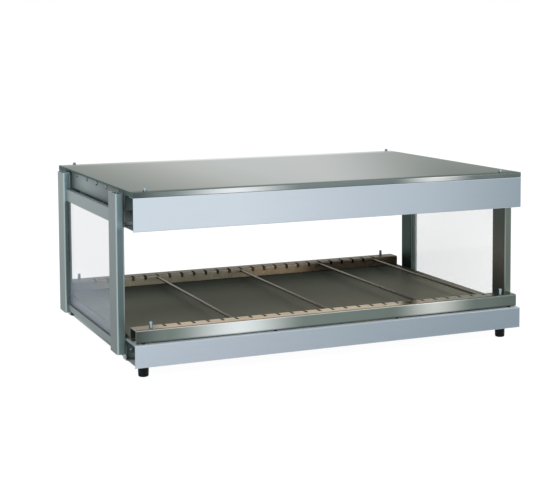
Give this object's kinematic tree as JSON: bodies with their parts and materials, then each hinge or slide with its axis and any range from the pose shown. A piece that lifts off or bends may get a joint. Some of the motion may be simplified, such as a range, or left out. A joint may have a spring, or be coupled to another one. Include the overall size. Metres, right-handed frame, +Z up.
{
  "type": "heated merchandiser",
  "caption": "Countertop heated display merchandiser: heat canopy on glazed side frames over a hot shelf with slotted rails and lift-out divider rods, open front and back.",
  "frame": {"origin": "centre of the whole object's footprint, on the surface that its feet stand on", "axes": "+X along the width, to the right as the customer sees it; +Y from the customer's side to the operator's side; +Z up"},
  "size_m": [1.042, 0.706, 0.427],
  "materials": {
    "cover_steel": "satin",
    "fascia_metal": "satin",
    "end_metal": "satin",
    "frame_aluminium": "satin",
    "rail_steel": "satin",
    "shelf_coating": "matte",
    "divider_steel": "satin",
    "pin_chrome": "polished",
    "fastener_steel": "satin",
    "bracket_steel": "satin",
    "glass": "gloss",
    "gasket_rubber": "matte",
    "foot_rubber": "matte",
    "reflector_aluminium": "polished",
    "element_sheath": "satin",
    "insulator_ceramic": "matte",
    "insulation_wool": "matte",
    "heater_blanket": "matte",
    "control_plastic": "satin",
    "rocker_plastic": "gloss",
    "thermostat_case": "matte",
    "loom_sleeve": "matte"
  },
  "bodies": {
    "cabinet": {"base_pan": "end_metal", "canopy_bearers": "bracket_steel", "cord_gland": "control_plastic", "element_insulators": "insulator_ceramic", "end_panel_screws": "fastener_steel", "feet": "foot_rubber", "foot_screws": "fastener_steel", "frame_brackets": "bracket_steel", "frame_screws": "fastener_steel", "front_base_fascia": "fascia_metal", "front_fascia": "fascia_metal", "front_heating_element": "element_sheath", "front_reflector": "reflector_aluminium", "front_tray_rail": "rail_steel", "front_wire_guard": "element_sheath", "gland_nut": "fastener_steel", "heater_pan": "end_metal", "insulation_slab": "insulation_wool", "junction_box": "control_plastic", "left_end_panel": "end_metal", "left_front_post": "frame_aluminium", "left_glass_panel": "glass", "left_glazing_gasket": "gasket_rubber", "left_lower_rail": "frame_aluminium", "left_rear_post": "frame_aluminium", "left_upper_rail": "frame_aluminium", "pan_screws": "fastener_steel", "rail_pins": "pin_chrome", "rail_spacers": "foot_rubber", "rear_base_fascia": "fascia_metal", "rear_fascia": "fascia_metal", "rear_heating_element": "element_sheath", "rear_reflector": "reflector_aluminium", "rear_tray_rail": "rail_steel", "rear_wire_guard": "element_sheath", "right_end_panel": "end_metal", "right_front_post": "frame_aluminium", "right_glass_panel": "glass", "right_glazing_gasket": "gasket_rubber", "right_lower_rail": "frame_aluminium", "right_rear_post": "frame_aluminium", "right_upper_rail": "frame_aluminium", "shelf_heater": "heater_blanket", "shelf_plate": "shelf_coating", "switch_housing": "control_plastic", "terminal_block": "control_plastic", "thermostat": "thermostat_case", "top_cover": "cover_steel", "top_pins": "pin_chrome", "wiring_loom": "loom_sleeve"},
    "divider_1": {"divider_rod_1": "divider_steel"},
    "divider_2": {"divider_rod_2": "divider_steel"},
    "divider_3": {"divider_rod_3": "divider_steel"},
    "divider_4": {"divider_rod_4": "divider_steel"},
    "knob": {"thermostat_knob": "control_plastic", "thermostat_shaft": "fastener_steel"},
    "rocker": {"power_rocker": "rocker_plastic"}
  },
  "joints": [
    {"name": "divider_1_lift", "type": "slide", "parent": "cabinet", "child": "divider_1", "axis": [0, 0, 1], "range_m": [0, 0.15]},
    {"name": "divider_2_lift", "type": "slide", "parent": "cabinet", "child": "divider_2", "axis": [0, 0, 1], "range_m": [0, 0.15]},
    {"name": "divider_3_lift", "type": "slide", "parent": "cabinet", "child": "divider_3", "axis": [0, 0, 1], "range_m": [0, 0.15]},
    {"name": "divider_4_lift", "type": "slide", "parent": "cabinet", "child": "divider_4", "axis": [0, 0, 1], "range_m": [0, 0.15]},
    {"name": "thermostat_turn", "type": "hinge", "parent": "cabinet", "child": "knob", "pos_m": [-0.38, 0.337, 0.0545], "axis": [0, -1, 0], "range_deg": [0, 270]},
    {"name": "rocker_tip", "type": "hinge", "parent": "cabinet", "child": "rocker", "pos_m": [-0.31, 0.334, 0.0545], "axis": [1, 0, 0], "range_deg": [0, 18]}
  ]
}
